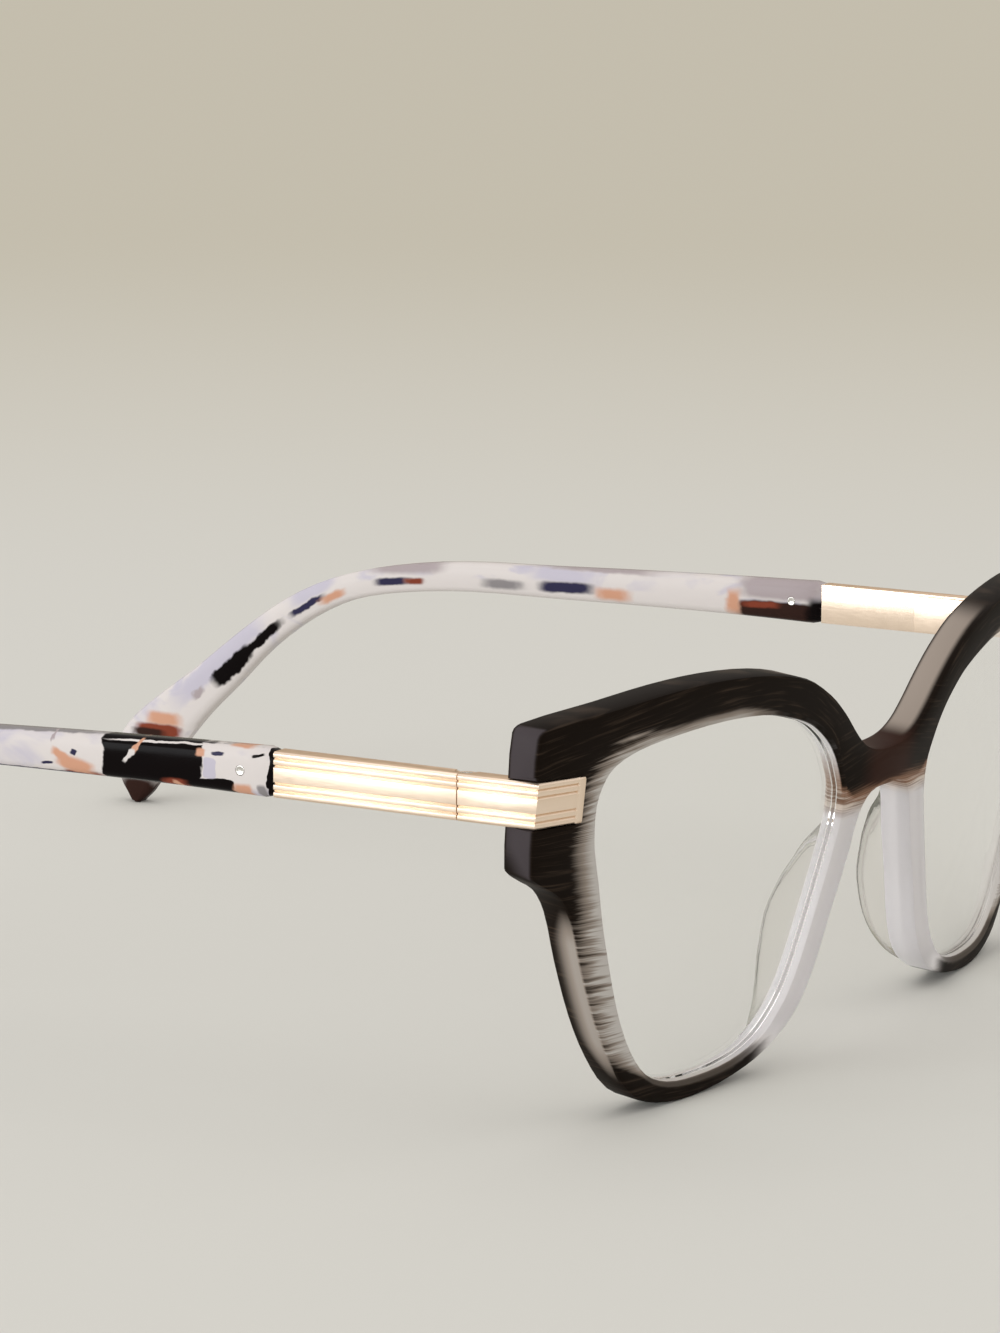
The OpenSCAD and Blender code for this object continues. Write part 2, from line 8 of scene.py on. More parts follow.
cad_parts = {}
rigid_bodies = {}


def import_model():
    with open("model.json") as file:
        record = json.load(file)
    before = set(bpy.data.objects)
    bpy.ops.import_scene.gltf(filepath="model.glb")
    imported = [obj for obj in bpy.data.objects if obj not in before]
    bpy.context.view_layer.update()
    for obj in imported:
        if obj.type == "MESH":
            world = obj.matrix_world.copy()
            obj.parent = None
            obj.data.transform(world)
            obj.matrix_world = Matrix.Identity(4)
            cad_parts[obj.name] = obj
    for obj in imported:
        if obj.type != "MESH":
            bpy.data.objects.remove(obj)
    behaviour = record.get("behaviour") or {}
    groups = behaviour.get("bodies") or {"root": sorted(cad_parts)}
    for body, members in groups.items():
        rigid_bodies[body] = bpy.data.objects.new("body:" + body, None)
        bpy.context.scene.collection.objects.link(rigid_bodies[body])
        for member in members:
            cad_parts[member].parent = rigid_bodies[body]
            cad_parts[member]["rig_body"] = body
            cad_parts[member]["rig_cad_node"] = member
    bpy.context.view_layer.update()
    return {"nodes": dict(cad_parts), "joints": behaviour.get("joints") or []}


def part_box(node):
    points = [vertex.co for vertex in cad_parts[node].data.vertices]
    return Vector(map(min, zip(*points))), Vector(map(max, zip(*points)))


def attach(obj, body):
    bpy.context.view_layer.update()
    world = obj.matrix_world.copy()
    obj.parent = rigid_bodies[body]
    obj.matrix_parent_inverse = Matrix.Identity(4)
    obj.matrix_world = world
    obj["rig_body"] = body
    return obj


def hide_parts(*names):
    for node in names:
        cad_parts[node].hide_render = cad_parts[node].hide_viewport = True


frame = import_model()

bl_info = {
    "name": "Reading glasses",
    "version": (1, 0, 0),
    "blender": (4, 5, 0),
    "location": "View3D > Sidebar > Glasses",
    "description": "Dresses folding reading glasses in horn acetate, rose gold and marbled ends",
    "category": "Object",
}

MM = 0.001
# Points of a mesh that are closer than this are one point
WELD = 0.002 * MM
# Faces that turn by less than this many degrees make one flat
FLAT_DEGREES = 0.8
SIDES = ("right", "left")
FRONT_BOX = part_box("front_frame")
HINGE_Y = frame["joints"][0]["pos_m"][1]


def colour(name, description, default):
    """A colour that the user may change"""
    return bpy.props.FloatVectorProperty(
        name=name, description=description, default=default, size=3, min=0.0, max=1.0, subtype="COLOR"
    )


def distance(name, description, default):
    """A length in metres that the user may change"""
    return bpy.props.FloatProperty(
        name=name, description=description, default=default, min=0.0, precision=5, unit="LENGTH"
    )


def amount(name, description, default, high=1.0):
    """A plain number that the user may change"""
    return bpy.props.FloatProperty(name=name, description=description, default=default, min=0.0, max=high)


def turn(name, description, degrees):
    """An angle that the user may change"""
    return bpy.props.FloatProperty(
        name=name, description=description, default=math.radians(degrees), subtype="ANGLE"
    )


class GlassesStage(bpy.types.PropertyGroup):
    """Floor, light and camera"""

    floor: colour("Floor", "Colour of the floor round the glasses", (0.663, 0.665, 0.632))
    backdrop_near: colour("Near backdrop", "Backdrop where it meets the floor", (0.65, 0.625, 0.565))
    backdrop_far: colour("Far backdrop", "Backdrop far behind the glasses", (0.553, 0.512, 0.42))
    sky: colour("Surroundings", "Colour of the room's light", (0.94, 0.9, 0.86))
    sky_strength: amount("Room light", "Strength of the room's light", 0.86, 2.0)
    window_power: amount("Window", "Power of the soft light behind the near temple, in watts", 27.0, 90.0)
    top_power: amount("Top light", "Power of the soft light above, in watts", 3.5, 50.0)
    lens: amount("Focal length", "Focal length of the camera, in millimetres", 136.4, 400.0)
    reach: distance("Camera distance", "From the camera to the point that it looks at", 0.5996)
    azimuth: turn("Camera azimuth", "Turn of the camera round the glasses", -60.254)
    elevation: turn("Camera elevation", "Height of the camera above the horizon", 10.126)
    roll: turn("Camera roll", "Turn of the camera about its own axis", 0.462)
    look_back: distance("Look back", "How far behind the hinges the camera looks", 33.2 * MM)
    look_up: distance("Look up", "Height of the point that the camera looks at", 38.07 * MM)


class GlassesAcetate(bpy.types.PropertyGroup):
    """The acetate front and its clear inner edge"""

    tilt: turn("Lean", "Lean of the front, with its top forward", 6.0)
    wrap: distance("Wrap", "Radius to which the front is bent", 242 * MM)
    brow_lead: distance("Brow lead", "How far the lean carries the brow in front of the foot", 3.87 * MM)
    thickness: distance("Thickness", "Thickness of the front", 4 * MM)
    dark: colour("Dark", "Darkest part of the horn pattern", (0.0085, 0.0052, 0.0034))
    brown: colour("Brown", "Lighter streaks of the horn pattern", (0.034, 0.023, 0.016))
    bridge: colour("Bridge", "Red-brown middle of the bridge", (0.036, 0.013, 0.008))
    # Painted sheen: the cut ends beside the gold are lightened to stand for the window's reflection on
    # them
    painted_sheen: colour("Sawn", "Ends of the front, beside the gold", (0.057, 0.048, 0.052))
    smoke: colour("Smoke", "Pale acetate beside the temples", (0.6, 0.575, 0.55))
    haze: colour("Haze", "Half-dark acetate between pale and dark", (0.3, 0.255, 0.22))
    clear: colour("Clear", "Pale acetate beside the nose", (0.93, 0.91, 0.935))
    amber: colour("Amber", "Warm glow where the bridge turns pale", (0.88, 0.76, 0.67))
    rusty: colour("Rusty", "Brown streaks in the warm glow", (0.3, 0.17, 0.11))
    clear_share: amount("Clearness", "How much light passes through the acetate beside the nose", 0.45)
    smoke_share: amount("Smokiness", "How much light passes through the acetate beside the temples", 0.1)
    clear_frost: amount("Frost", "Roughness of the pale acetate", 0.3)
    streak: distance("Streak", "Height of one streak of the brow", 0.4 * MM)
    streak_rise: turn("Streak rise", "How far the streaks at the corners rise towards the nose", 9.0)
    tooth: distance("Tooth", "Height of one streak beside the temples", 0.5 * MM)
    rim_reach: distance(
        "Rim reach", "Points of the front nearer to a lens than this lie on its opening", 0.5 * MM
    )
    # The full colour at this distance is the painted sheen of the cut ends
    end_at: distance(
        "End at", "Distance from the middle at which the sawn ends have their full colour",
        FRONT_BOX[1].x - 0.9 * MM,
    )


class GlassesMetal(bpy.types.PropertyGroup):
    """Gold, steel and how their edges are broken"""

    gold: colour("Gold", "Colour of the polished rose gold", (0.97, 0.8, 0.65))
    grazing: colour("Grazing", "Tint of the gold where it is seen along its face", (0.62, 0.5, 0.38))
    steel: colour("Steel", "Colour of screws and rivets", (0.72, 0.70, 0.67))
    edge: distance("Edge", "Width of the broken edges", 0.045 * MM)
    head_rim: distance("Head rim", "Width of the raised rim round a rivet's head", 0.14 * MM)
    slot_share: amount("Slot", "Width of a screw's slot as a share of its head", 0.2)
    slot_depth: distance("Slot depth", "Depth of the slot in a screw's head", 0.2 * MM)


class GlassesMarble(bpy.types.PropertyGroup):
    """Marbled acetate of the temple ends"""

    pearl: colour("Pearl", "Ground colour", (0.63, 0.59, 0.575))
    lavender: colour("Lavender", "Cool clouds in the ground", (0.49, 0.465, 0.54))
    mauve: colour("Mauve", "Dull violet-grey patches", (0.37, 0.32, 0.33))
    black: colour("Black", "Dark blocks", (0.004, 0.0026, 0.0028))
    umber: colour("Umber", "Brown-black blocks", (0.03, 0.014, 0.011))
    navy: colour("Navy", "Blue-black flecks", (0.03, 0.028, 0.065))
    amber: colour("Amber", "Warm flecks", (0.56, 0.3, 0.2))
    rust: colour("Rust", "Deep red-brown flecks", (0.2, 0.045, 0.025))
    grey: colour("Grey", "Smoky patches", (0.24, 0.225, 0.23))


class GlassesClear(bpy.types.PropertyGroup):
    """Lenses and nose pads"""

    pad: colour("Pad", "Colour of the nose pads", (1.0, 0.99, 0.975))
    # Painted shade along the outline of a pad, standing in for the dark surroundings that clear acetate
    # refracts at its edges
    pad_edge_shade: colour("Pad edge", "Colour of a pad along its outline", (0.22, 0.22, 0.18))
    lens_ior: amount("Lens index", "Refractive index of the lenses", 1.5, 2.0)
    lens_clean: colour("Clean lens", "Colour of a lens where it is clean", (1.0, 1.0, 1.0))
    lens_smear: colour("Smeared lens", "Colour of a lens under a faint smear", (0.99, 0.995, 0.985))
    lens_shade: colour("Lens shade", "What a lens lets pass of the lamps' light", (0.96, 0.965, 0.96))


def only(*pieces):
    """Selects these pieces and nothing else"""
    bpy.ops.object.select_all(action="DESELECT")
    for piece in pieces:
        piece.select_set(True)
    bpy.context.view_layer.objects.active = pieces[-1]


def edited(piece, *steps):
    """Runs the steps on the piece in edit mode with all of it selected"""
    only(piece)
    bpy.ops.object.mode_set(mode="EDIT")
    bpy.ops.mesh.select_all(action="SELECT")
    for step in steps:
        step()
    bpy.ops.object.mode_set(mode="OBJECT")


def modified(piece, kind, **settings):
    """Adds a modifier and applies it"""
    only(piece)
    modifier = piece.modifiers.new(kind.title(), kind)
    for key, value in settings.items():
        setattr(modifier, key, value)
    bpy.ops.object.modifier_apply(modifier=modifier.name)


def smooth(piece, degrees):
    """Shades the piece smooth, except at edges that turn by more than some degrees"""
    only(piece)
    bpy.ops.object.shade_smooth_by_angle(angle=math.radians(degrees))


def flats_joined(piece):
    """Joins the triangles of each flat face"""
    edited(piece, lambda: bpy.ops.mesh.dissolve_limited(angle_limit=math.radians(FLAT_DEGREES)))


def edges_broken(piece, width, degrees):
    """Rounds the edges that turn by more than some degrees"""
    angle = math.radians(degrees)
    modified(piece, "BEVEL", width=width, segments=2, limit_method="ANGLE", angle_limit=angle)


def fitted(node, name):
    """A piece that starts from a welded copy of a node, at its place"""
    only(frame["nodes"][node])
    bpy.ops.object.duplicate()
    piece = bpy.context.active_object
    bpy.ops.object.parent_clear(type="CLEAR_KEEP_TRANSFORM")
    piece.name = piece.data.name = name
    # The copy is a piece of its own, so the marks of the node come off
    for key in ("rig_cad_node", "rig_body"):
        del piece[key]
    edited(
        piece,
        lambda: bpy.ops.mesh.customdata_custom_splitnormals_clear(),
        lambda: bpy.ops.mesh.remove_doubles(threshold=WELD),
    )
    return piece


def flat_sided(node, name, edge):
    """A fitted piece of flat faces with its edges broken"""
    piece = fitted(node, name)
    flats_joined(piece)
    edges_broken(piece, edge, degrees=28)
    smooth(piece, degrees=32)
    return piece


def finished(piece, material, body, slot, *nodes):
    """Gives a piece its material and its body, and hides the nodes that it stands for; the slot is not
    used
    """
    piece.data.materials.clear()
    piece.data.materials.append(material)
    for polygon in piece.data.polygons:
        polygon.material_index = 0
    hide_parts(*nodes)
    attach(piece, body)


def painted(node, material):
    """A node that keeps its shape gets a material"""
    holder = frame["nodes"][node]
    holder.data.materials.clear()
    holder.data.materials.append(material)


class Nodes:
    """Adds nodes to one material or world and links them by socket"""

    def __init__(self, name, owner=None):
        self.owner = owner or bpy.data.materials.new(name)
        self.owner.use_nodes = True
        self.tree = self.owner.node_tree
        self.tree.nodes.clear()
        self.place = self.add("TexCoord").outputs["Object"]

    def add(self, kind, inputs=(), **settings):
        """One node, whose inputs are sockets to link or plain values"""
        node = self.tree.nodes.new("ShaderNode" + kind)
        for key, value in settings.items():
            setattr(node, key, value)
        for key, value in dict(inputs).items():
            if isinstance(value, bpy.types.NodeSocket):
                self.tree.links.new(value, node.inputs[key])
            else:
                node.inputs[key].default_value = value
        return node

    def math(self, operation, a, b=0.0):
        """What an operation makes of one or two numbers"""
        return self.add("Math", {0: a, 1: b}, operation=operation).outputs[0]

    def add_up(self, *values):
        """The sum of some numbers"""
        total = values[0]
        for value in values[1:]:
            total = self.math("ADD", total, value)
        return total

    def product(self, *values):
        """The product of some numbers"""
        total = values[0]
        for value in values[1:]:
            total = self.math("MULTIPLY", total, value)
        return total

    def vector(self, operation, a, b=(0, 0, 0)):
        """What an operation makes of one or two vectors"""
        return self.add("VectorMath", {0: a, 1: b}, operation=operation).outputs

    def step(self, value, low, high, first=0.0, last=1.0):
        """A smooth change from first to last while the value goes from low to high"""
        inputs = {"Value": value, "From Min": low, "From Max": high, "To Min": first, "To Max": last}
        return self.add("MapRange", inputs, interpolation_type="SMOOTHSTEP").outputs[0]

    def fade(self, value, low, high):
        """A smooth change from 1 to 0 while the value goes from low to high"""
        return self.step(value, low, high, 1.0, 0.0)

    def band(self, value, rise, fall):
        """1 between a rise and a fall, each given as where it starts and ends"""
        return self.product(self.step(value, *rise), self.fade(value, *fall))

    def mix(self, factor, a, b):
        """A colour between two colours"""
        inputs = {0: factor, 6: solid(a), 7: solid(b)}
        return self.add("Mix", inputs, data_type="RGBA").outputs[2]

    def mix_value(self, factor, a, b):
        """A number between two numbers"""
        return self.add("Mix", {0: factor, 2: a, 3: b}, data_type="FLOAT").outputs[0]

    def mapped(self, scale, angle=0.0, centre=(0, 0, 0), place=None):
        """A place, or else the one on the piece, from a centre, turned about X and scaled"""
        place = self.place if place is None else place
        moved = self.add("Mapping", {"Vector": place, "Location": [-c for c in centre]}).outputs[0]
        turned = self.add("Mapping", {"Vector": moved, "Rotation": (angle, 0, 0)}).outputs[0]
        return self.add("Mapping", {"Vector": turned, "Scale": scale}).outputs[0]

    def noise(self, vector, detail=2.0, distortion=0.0):
        """Soft cloudy noise, one cloud to each unit of the vector"""
        inputs = {"Vector": vector, "Scale": 1.0, "Detail": detail, "Distortion": distortion}
        return self.add("TexNoise", inputs).outputs

    def bump(self, height, strength, depth):
        """The normal of a surface that the height makes uneven by some depth"""
        inputs = {"Height": height, "Strength": strength, "Distance": depth}
        return self.add("Bump", inputs).outputs[0]

    def seen(self, *kinds):
        """1 for a ray that is of one of these kinds"""
        rays = self.add("LightPath").outputs
        total = rays[kinds[0]]
        for kind in kinds[1:]:
            total = self.math("MAXIMUM", total, rays[kind])
        return total

    def layered(self, cover, under, over):
        """A shader between two shaders"""
        return self.add("MixShader", {0: cover, 1: under.outputs[0], 2: over.outputs[0]})

    def finish(self, shader, output="OutputMaterial"):
        """Links the shader to the output and gives back the material or world"""
        self.add(output, {"Surface": shader.outputs[0]})
        return self.owner


def solid(value):
    """A colour with its alpha, where the value is a plain colour"""
    return value if isinstance(value, bpy.types.NodeSocket) else (*value, 1.0)


def dimmed(shade, share):
    """A colour at a share of its brightness"""
    return [c * share for c in shade]


# What all the acetate has in common
ACETATE = {"IOR": 1.49, "Specular IOR Level": 0.04}

# A pair of places in the horn pattern says where a change starts and where it is complete. Across
# is measured from the middle of the bridge, up from the foot of the front and reach outwards from
# the lens. Depth goes from 0 at the front face to 1 at the back

# Where the brow begins, and how much lower it begins towards the bridge
BROW_UP = (30.5 * MM, 34 * MM)
BROW_DIP = 2.5 * MM
BROW_DIP_ACROSS = (30 * MM, 42 * MM)
# Where the pale foot of a rim ends, and where its nose side turns to its temple side
FOOT_UP = (3.2 * MM, 8.5 * MM)
TEMPORAL_ACROSS = (24 * MM, 34 * MM)
# The outer wall lies behind the face and away from the lens
WALL_DEPTH = (0.02, 0.1)
WALL_REACH = (0.9 * MM, 1.3 * MM)


class FrontPlace:
    """Where a point of the front lies, in numbers that its material can use"""

    def __init__(self, n, look):
        stored = n.add("Attribute", attribute_name="rim").outputs["Vector"]
        self.reach, self.up, self.depth = n.add("SeparateXYZ", {"Vector": stored}).outputs
        self.across = n.math("ABSOLUTE", n.add("SeparateXYZ", {"Vector": n.place}).outputs[0])
        self.behind = n.product(self.depth, look.thickness)
        dip = n.step(self.across, *BROW_DIP_ACROSS, first=BROW_DIP, last=0.0)
        self.in_brow = n.step(n.add_up(self.up, dip), *BROW_UP)
        self.above_foot = n.step(self.up, *FOOT_UP)
        self.temporal = n.step(self.across, *TEMPORAL_ACROSS)
        self.on_wall = n.product(n.step(self.depth, *WALL_DEPTH), n.step(self.reach, *WALL_REACH))


# Waves of the streaks in a metre along each axis, and how many streaks high they are
STREAK_WAVES = (70, 70, 160)
STREAK_SWAY = 3
# Distances along a streak count only this much, which draws it out
STREAK_STRETCH = 0.06
# How many fine streaks lie in a coarse one, and how much each kind counts
FINE_IN_COARSE = 2.6
COARSE_SHARE = 0.62
FINE_SHARE = 0.38
# Where along the brow the streaks follow the lens
FOLLOW_FROM = (11 * MM, 16 * MM)
FOLLOW_TO = (38 * MM, 50 * MM)


def streaks(n, at, level, size):
    """Long thin streaks of one size that run where the level stays the same"""
    along = n.product(at.across, STREAK_STRETCH)
    behind = n.product(at.behind, STREAK_STRETCH)
    place = n.add("CombineXYZ", {0: along, 1: behind, 2: level}).outputs[0]
    coarse = n.noise(n.mapped((1 / size, 1 / size, 1 / size), place=place))["Fac"]
    fine = n.noise(n.mapped((1 / size, 1 / size, FINE_IN_COARSE / size), place=place))["Fac"]
    return n.add_up(n.product(coarse, COARSE_SHARE), n.product(fine, FINE_SHARE))


def horn_grain(n, at, look):
    """Streaks that lie level on the sides and follow the lens along the brow"""
    waves = n.noise(n.mapped(STREAK_WAVES), detail=1.0)["Fac"]
    sway = n.product(waves, STREAK_SWAY * look.streak)
    rise = n.product(at.across, math.tan(look.streak_rise), at.in_brow)
    level = streaks(n, at, n.add_up(at.up, rise, sway), look.tooth)
    lines = streaks(n, at, n.add_up(at.reach, sway), look.streak)
    follow = n.band(at.across, FOLLOW_FROM, FOLLOW_TO)
    return n.mix_value(n.product(follow, at.in_brow), level, lines)


# How far from the lens the dark of the front face starts, and what is added above the foot and in
# the brow
START_AT_FOOT = -0.7 * MM
START_ABOVE_FOOT = 0.7 * MM
START_IN_BROW = -0.3 * MM
# How far from the lens it is full, with what is added in the same places and higher up the sides
FULL_AT_FOOT = 0.2 * MM
FULL_ABOVE_FOOT = 4.6 * MM
FULL_IN_BROW = -2.5 * MM
FULL_HIGH_UP = -1.4 * MM
HIGH_UP = (18 * MM, 25 * MM)
# Both come closer to the lens towards the bridge, and the full dark draws back at the corners
TIGHT = -0.9 * MM
TIGHT_ACROSS = (24 * MM, 36 * MM)
CORNER = 1.5 * MM
CORNER_ACROSS = (46 * MM, 57 * MM)
# How much the streaks comb the edge of the dark: low and high on the sides, and at the corners
COMB_LOW = 3.0
COMB_HIGH = 0.9
COMB_UP = (19 * MM, 28 * MM)
COMB_CORNER = 1.6
COMB_ACROSS = (42 * MM, 52 * MM)


def face_tone(n, at, swing):
    """Tone of the front face: 0 where it is pale at the lens and 1 where it is all dark"""
    tight = n.step(at.across, *TIGHT_ACROSS, first=TIGHT, last=0.0)
    corner = n.step(at.across, *CORNER_ACROSS, first=0.0, last=CORNER)
    start = n.add_up(
        START_AT_FOOT, n.product(at.above_foot, START_ABOVE_FOOT),
        n.product(at.in_brow, n.add_up(tight, START_IN_BROW)),
    )
    full = n.add_up(
        FULL_AT_FOOT, n.product(at.above_foot, FULL_ABOVE_FOOT),
        n.step(at.up, *HIGH_UP, first=0.0, last=FULL_HIGH_UP),
        n.product(at.in_brow, n.add_up(tight, corner, FULL_IN_BROW)),
    )
    face = n.math("DIVIDE", n.math("SUBTRACT", at.reach, start), n.math("SUBTRACT", full, start))
    comb = n.add_up(
        n.product(at.above_foot, n.step(at.up, *COMB_UP, first=COMB_LOW, last=COMB_HIGH)),
        n.product(at.in_brow, n.step(at.across, *COMB_ACROSS, first=0.0, last=COMB_CORNER)),
    )
    return n.add_up(face, n.product(swing, comb))


# Tone of the outer wall in front, what its back adds, and where it is dark all through
WALL_FRONT = 0.34
WALL_BACK = 0.68
WALL_DARKENS = (0.22, 1.0)
WALL_DARK_UP = (20 * MM, 28 * MM)
WALL_DARK_ACROSS = (46 * MM, 53 * MM)
# The wall of the lens opening, and how much darker it is in the brow
OPENING = -0.1
OPENING_IN_BROW = 0.45
OPENING_REACH = (0.5 * MM, 0.9 * MM)
OPENING_DEPTH = (0.06, 0.12)
# The pale part beside the nose, the raggedness of its upper edge and how much the streaks show in it
NOSE_ACROSS = (17 * MM, 27 * MM)
NOSE_UP = (27.6 * MM, 31.0 * MM)
NOSE_RAGGED = 3 * MM
NOSE_SWING = 0.6


def wall_tone(n, at):
    """Tone of the outer wall, which is smoky in front only on the sides below the end blocks"""
    return n.add_up(
        WALL_FRONT, n.step(at.depth, *WALL_DARKENS, first=0.0, last=WALL_BACK),
        n.step(at.up, *WALL_DARK_UP), n.fade(at.across, *WALL_DARK_ACROSS),
    )


def horn_tone(n, at, swing):
    """Tone of the whole front: 0 and less where it is pale and clear, 1 and more where it is dark"""
    tone = n.mix_value(at.on_wall, face_tone(n, at, swing), wall_tone(n, at))
    in_opening = n.product(n.fade(at.reach, *OPENING_REACH), n.step(at.depth, *OPENING_DEPTH))
    opening = n.add_up(n.product(at.in_brow, OPENING_IN_BROW), OPENING)
    tone = n.mix_value(in_opening, tone, opening)
    ragged = n.add_up(at.up, n.product(swing, NOSE_RAGGED))
    at_nose = n.product(n.fade(at.across, *NOSE_ACROSS), n.fade(ragged, *NOSE_UP))
    return n.mix_value(at_nose, n.math("MINIMUM", tone, 1.0), n.product(swing, NOSE_SWING))


# Streaks with more grain than this are brown
BROWN_GRAIN = (0.5, 0.68)
# The red-brown middle of the bridge, and how much of it shows
BRIDGE_ACROSS = (3 * MM, 8 * MM)
BRIDGE_SHARE = 0.8
# How wide the change to the painted sheen of the cut ends is, and its edges in front and behind
PAINTED_SHEEN_BLEND = 0.6 * MM
PAINTED_SHEEN_FROM = (0.04, 0.14)
PAINTED_SHEEN_TO = (0.86, 0.98)
# The walls that climb from the bridge to the brow are lighter than the rest
CLIMB_FROM = (3.5 * MM, 7 * MM)
CLIMB_TO = (21 * MM, 28 * MM)
CLIMB_UP = (30 * MM, 32.5 * MM)
CLIMB_DEPTH_FROM = (0.1, 0.3)
CLIMB_DEPTH_TO = (0.82, 0.96)


def dark_horn(n, at, look, grain):
    """Colours of the dark acetate, with a painted sheen on its cut ends beside the gold"""
    paint = n.mix(n.step(grain, *BROWN_GRAIN), look.dark, look.brown)
    bridge = n.step(at.across, *BRIDGE_ACROSS, first=BRIDGE_SHARE, last=0.0)
    paint = n.mix(bridge, paint, look.bridge)
    # Painted sheen on the cut ends beside the gold, in place of the window's reflection
    at_end = n.step(at.across, look.end_at - PAINTED_SHEEN_BLEND, look.end_at)
    painted_sheen = n.product(at_end, n.step(at.depth, *PAINTED_SHEEN_FROM), n.fade(at.depth, *PAINTED_SHEEN_TO))
    paint = n.mix(painted_sheen, paint, look.painted_sheen)
    climb = n.product(
        n.band(at.across, CLIMB_FROM, CLIMB_TO), n.product(at.on_wall, n.step(at.up, *CLIMB_UP)),
        n.band(at.depth, CLIMB_DEPTH_FROM, CLIMB_DEPTH_TO),
    )
    return n.mix(climb, paint, look.haze)


# Where the bridge turns pale it glows, with brown streaks where the grain is more than this
GLOW_UP = (26.8 * MM, 28.8 * MM)
GLOW_ACROSS = (11 * MM, 14.5 * MM)
RUSTY_GRAIN = (0.46, 0.58)
# Where the half-dark tone is hazy, and the tones over which pale turns to it
HAZE_ACROSS = (20 * MM, 30 * MM)
HAZE_TONE = (0.0, 0.5)


def pale_horn(n, at, look, grain, tone):
    """Colours of the pale acetate"""
    glow = n.product(n.step(at.up, *GLOW_UP), n.fade(at.across, *GLOW_ACROSS))
    warm = n.mix(n.step(grain, *RUSTY_GRAIN), look.amber, look.rusty)
    pale = n.mix(glow, n.mix(at.temporal, look.clear, look.smoke), warm)
    middle = n.mix(n.step(at.across, *HAZE_ACROSS), look.clear, look.haze)
    middle = n.mix(glow, middle, look.rusty)
    return n.mix(n.step(tone, *HAZE_TONE), pale, middle)


# The tones over which the paint turns dark, and those over which light stops passing
DARK_TONE = (0.35, 1.0)
CLEAR_TONE = (0.0, 0.6)
DARK_FROST = 0.5


def horn_acetate(look):
    """Dark streaked acetate that fades to pale round the lenses and at the nose"""
    n = Nodes("horn_acetate")
    at = FrontPlace(n, look)
    grain = horn_grain(n, at, look)
    tone = horn_tone(n, at, n.math("SUBTRACT", grain, 0.5))
    pale = pale_horn(n, at, look, grain, tone)
    share = n.mix_value(at.temporal, look.clear_share, look.smoke_share)
    return n.finish(n.add("BsdfPrincipled", {
        **ACETATE,
        "Base Color": n.mix(n.step(tone, *DARK_TONE), pale, dark_horn(n, at, look, grain)),
        "Roughness": n.step(tone, 0.0, 1.0, first=look.clear_frost, last=DARK_FROST),
        "Transmission Weight": n.product(n.fade(tone, *CLEAR_TONE), share),
        "Normal": n.bump(grain, strength=0.08, depth=0.03 * MM),
    }))


# How often a pattern repeats in a metre along each axis
GOLD_BRUSH = (9000, 600, 9000)
GOLD_CLOUD = (180, 180, 180)
STEEL_BRUSH = (5000, 5000, 5000)
PAD_CLOUD = (300, 300, 300)
LENS_SMEAR = (90, 90, 90)
MARBLE_WARP = (620, 620, 620)
MARBLE_CLOUD = (160, 110, 260)
PAPER_TOOTH = (900, 900, 900)


def rose_gold(look):
    """Polished rose gold with a faint brushed grain"""
    n = Nodes("rose_gold")
    brush = n.noise(n.mapped(GOLD_BRUSH))["Fac"]
    cloud = n.noise(n.mapped(GOLD_CLOUD), detail=1.0)["Fac"]
    return n.finish(n.add("BsdfPrincipled", {
        "Base Color": n.mix(cloud, dimmed(look.gold, 0.97), look.gold),
        "Metallic": 1.0,
        "Specular Tint": solid(look.grazing),
        "Roughness": n.step(brush, 0.3, 0.7, first=0.3, last=0.42),
        "Normal": n.bump(brush, strength=0.06, depth=0.01 * MM),
    }))


def bright_steel(look):
    """Fine turned steel for screws, rivets and core wires"""
    n = Nodes("bright_steel")
    brush = n.noise(n.mapped(STEEL_BRUSH), detail=3.0)["Fac"]
    return n.finish(n.add("BsdfPrincipled", {
        "Base Color": n.mix(brush, dimmed(look.steel, 0.85), look.steel),
        "Metallic": 1.0,
        "Roughness": n.step(brush, 0.2, 0.8, first=0.22, last=0.38),
        "Normal": n.bump(brush, strength=0.1, depth=0.01 * MM),
    }))


def pad_acetate(look):
    """Clear satin acetate of the nose pads, with a painted dark green-grey shade along the outline where
    it is seen edge-on
    """
    n = Nodes("pad_acetate")
    cloud = n.noise(n.mapped(PAD_CLOUD))["Fac"]
    inside = n.add("BsdfPrincipled", {
        "Base Color": n.mix(cloud, dimmed(look.pad, 0.97), look.pad),
        "Roughness": n.step(cloud, 0.2, 0.8, first=0.04, last=0.1),
        "IOR": 1.3,
        "Specular IOR Level": 0.15,
        "Transmission Weight": 1.0,
    })
    # A dark diffuse at grazing angles paints shade along the pad's outline
    painted_edge_shade = n.add("BsdfDiffuse", {"Color": solid(look.pad_edge_shade)})
    facing = n.add("LayerWeight", {"Blend": 0.5}).outputs["Facing"]
    cover = n.step(facing, 0.4, 0.98, first=0.02, last=0.75)
    return n.finish(n.layered(cover, inside, painted_edge_shade))


def lens_glass(look):
    """Clear lens that bends what is behind it, and lets the light of the lamps pass"""
    n = Nodes("lens_glass")
    smear = n.noise(n.mapped(LENS_SMEAR), detail=3.0)["Fac"]
    glass = n.add("BsdfPrincipled", {
        "Base Color": n.mix(smear, look.lens_smear, look.lens_clean),
        "Roughness": 0.0,
        "IOR": look.lens_ior,
        "Specular IOR Level": 0.12,
        "Transmission Weight": 1.0,
    })
    clear = n.add("BsdfTransparent", {"Color": solid(look.lens_shade)})
    return n.finish(n.layered(n.seen("Is Shadow Ray", "Is Diffuse Ray"), glass, clear))


